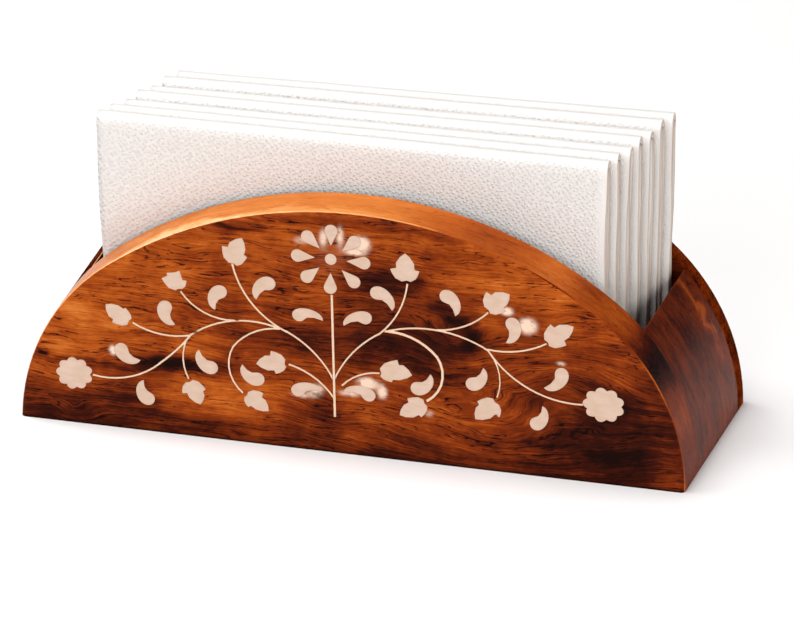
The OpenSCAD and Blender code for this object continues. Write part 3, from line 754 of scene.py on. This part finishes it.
# %% [markdown]
# A stack of soft paper is never straight. All layers of a sheet wave a little together. Held only
# at its foot, a sheet is narrower there and fans out at the top, mostly to one side. The ones at
# the back also stand askew on their left foot. Each of these is a small move of every point.

# %% Soft paper in a slot
WAVES = (28, 0, 35)  # changes in a metre along each axis
GATHERED = -0.031  # the share by which the foot is narrower than the top

wave = add(fold, "ShaderNodeVectorMath", {"operation": "MULTIPLY"}, in_0=spot, in_1=WAVES)
wave = add(fold, "ShaderNodeTexNoise", {"noise_dimensions": "4D"}, Vector=wave,
           W=given["Seed"], Scale=1.0, Detail=1.0)
wave = add(fold, "ShaderNodeMapRange", Value=wave, To_Min=-2.0, To_Max=2.0)
spot = moved(spot, Y=add(fold, "ShaderNodeMath", {"operation": "MULTIPLY"}, in_0=given["Wave"],
                         in_1=wave))

there = add(fold, "ShaderNodeSeparateXYZ", Vector=spot).outputs
depth = add(fold, "ShaderNodeMath", {"operation": "DIVIDE"}, in_0=there["Z"],
            in_1=given["Tall"])
depth = add(fold, "ShaderNodeMath", {"operation": "SUBTRACT"}, in_0=1.0, in_1=depth)
tuck = add(fold, "ShaderNodeMath", {"operation": "MULTIPLY_ADD"}, in_0=there["X"],
           in_1=GATHERED, in_2=given["Lean"])
spot = moved(spot, X=add(fold, "ShaderNodeMath", {"operation": "MULTIPLY"}, in_0=tuck,
                         in_1=depth))

left_end = add(fold, "ShaderNodeMath", {"operation": "MULTIPLY"}, in_0=half_width, in_1=-1.0)
left_foot = add(fold, "ShaderNodeCombineXYZ", X=left_end)
spot = add(fold, "ShaderNodeVectorRotate", {"rotation_type": "Y_AXIS"}, Vector=spot,
           Center=left_foot, Angle=given["Askew"])
spot = add(fold, "ShaderNodeVectorRotate", {"rotation_type": "Z_AXIS"}, Vector=spot,
           Angle=given["Turn"])
spot = add(fold, "ShaderNodeVectorMath", {"operation": "ADD"}, in_0=spot, in_1=given["Place"])
laid = add(fold, "GeometryNodeSetPosition", Geometry=uv, Position=spot)
soft = add(fold, "GeometryNodeSetShadeSmooth", Geometry=laid)
real = add(fold, "GeometryNodeRealizeInstances", Geometry=soft)
finished = add(fold, "GeometryNodeSetMaterial", Geometry=real, Material=given["Material"])
add(fold, "NodeGroupOutput", Geometry=finished)
print("folding rule in", len(fold.nodes), "nodes")

# %% [markdown]
# Seven napkins stand in the slot. In the photograph their corners step away to the right, each a
# little lower or higher than the last. So each gets its own curve and its own inputs: towards the
# back a sheet is a little shorter, stands further right, leans less and is more askew. The result
# is turned into a plain mesh, and its paper gets a thickness.

# %% Seven folded napkins
LOWER = (0.0, 0.3, 0.9, 0.2, 1.0, 0.0, 0.5)  # mm by which each is lower than its solid
FIRST_X, FIRST_LEAN = -6.5, 2.3  # mm, for the napkin in front
SHORTER, FURTHER, LESS_LEAN = 0.68, 2.33, 0.3  # mm, from each napkin to the next
MORE_ASKEW, NEXT_SEED = -0.155, 3.1  # degrees, and the step from one napkin's noise to the next
PAPER = 0.25 * MM  # the plies of the tissue with their embossing
identifiers = {item.name: item.identifier for item in fold.interface.items_tree
               if item.in_out == "INPUT"}


def curve_through(name, points):
    """An object that is one curve through these (y, z) points."""
    curve = bpy.data.curves.new(name, "CURVE")
    curve.dimensions = "3D"
    line = curve.splines.new("POLY")
    line.points.add(len(points) - 1)
    for point, (y, z) in zip(line.points, points):
        point.co = (0, y, z, 1)
    return in_scene(name, curve)


for number, name in enumerate(napkin_names):
    low, high = (Vector(c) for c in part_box(name))
    width = NAPKIN_W - SHORTER * MM * number
    carrier = curve_through(name + "_curve", u_in_u(napkin_t, napkin_h - LOWER[number] * MM))
    rule = carrier.modifiers.new("fold", "NODES")
    rule.node_group = fold
    values = dict(SIZES, Width=width, Lean=(FIRST_LEAN - LESS_LEAN * number) * MM,
                  Askew=math.radians(MORE_ASKEW * number), Seed=NEXT_SEED * number,
                  Place=((FIRST_X + FURTHER * number) * MM, (low.y + high.y) / 2, low.z),
                  Material=tissue)
    for key, value in values.items():
        rule[identifiers[key]] = value
    ready = carrier.evaluated_get(bpy.context.evaluated_depsgraph_get())
    mesh = bpy.data.meshes.new_from_object(ready)
    mesh.name = name + "_sheet"
    sheet = in_scene(name + "_sheet", mesh)
    bpy.data.objects.remove(carrier)
    ply = sheet.modifiers.new("tissue has a thickness", "SOLIDIFY")
    ply.thickness = PAPER
    ply.offset = 0.0
    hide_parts(name)
    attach(sheet, name)
    print(sheet.name, len(mesh.polygons), "faces")

# %% [markdown]
# The set is a plain white table under soft light. The photograph's background is pure white, and a
# lamp strong enough for that would bleach the napkins. So the table also glows a little, and only
# for the rays that look at it, straight, mirrored or through something. That glow lights nothing
# else, and the holder's shadow stays.

# %% Table
TABLE_SIZE = 6.0  # metres across
GLOW = 0.10  # of white

table_white, tree = new_material("white card table")
rays = add(tree, "ShaderNodeLightPath").outputs
seen = rays["Is Camera Ray"]
for ray in ("Is Glossy Ray", "Is Transmission Ray"):
    seen = add(tree, "ShaderNodeMath", {"operation": "MAXIMUM"}, in_0=seen, in_1=rays[ray])
lift = add(tree, "ShaderNodeMath", {"operation": "MULTIPLY"}, in_0=seen, in_1=GLOW)
# smooth card: soft, even and without a gleam
card = add(tree, "ShaderNodeBsdfDiffuse", Color=hex_colour("#eceaea"))
glow = add(tree, "ShaderNodeEmission", Color=(1, 1, 1, 1), Strength=lift)
both = add(tree, "ShaderNodeAddShader", in_0=card, in_1=glow)
add(tree, "ShaderNodeOutputMaterial", Surface=both)

work = bmesh.new()
bmesh.ops.create_grid(work, x_segments=1, y_segments=1, size=TABLE_SIZE / 2)
table_mesh = bpy.data.meshes.new("table")
work.to_mesh(table_mesh)
work.free()
dress(table_mesh, table_white)
table = in_scene("table", table_mesh)
print("table", TABLE_SIZE, "m across")

# %% [markdown]
# Three large soft boxes light the holder, as in a small studio: one overhead, a little to the left,
# which gives the short soft shadow, one in front for the face, and one at the right for the end
# block. Big lamps close by give soft edges to every shadow. A dim white room fills the rest.

# %% Light
AIM = Vector((0, 0, 0.04))  # about the middle of the holder
LAMPS = [  # name, place in metres, size in metres, power in watts, colour
    ("soft box overhead", (-0.50, 0.0, 1.50), 0.9, 23.5, "#ffffff"),
    ("soft box in front", (-0.3, -2.0, 0.9), 1.3, 22.0, "#ffffff"),
    ("soft box at the right", (1.7, -1.1, 0.7), 1.0, 20.0, "#fffaf5"),
]
for name, place, size, power, tint in LAMPS:
    lamp = bpy.data.lights.new(name, "AREA")
    lamp.shape, lamp.size, lamp.energy = "SQUARE", size, power
    lamp.color = hex_colour(tint)[:3]
    turn = (AIM - Vector(place)).to_track_quat("-Z", "Y").to_matrix().to_4x4()
    in_scene(name, lamp).matrix_world = Matrix.Translation(Vector(place)) @ turn
    print(name, "at", place, "m,", power, "W")

world = bpy.data.worlds.new("dim studio")
world.use_nodes = True
world.node_tree.nodes.clear()
room = add(world.node_tree, "ShaderNodeBackground", Color=(1, 1, 1, 1), Strength=0.15)
add(world.node_tree, "ShaderNodeOutputWorld", Surface=room)
bpy.context.scene.world = world
bpy.context.scene.view_settings.view_transform = "Standard"
print("world light", room.inputs["Strength"].default_value)
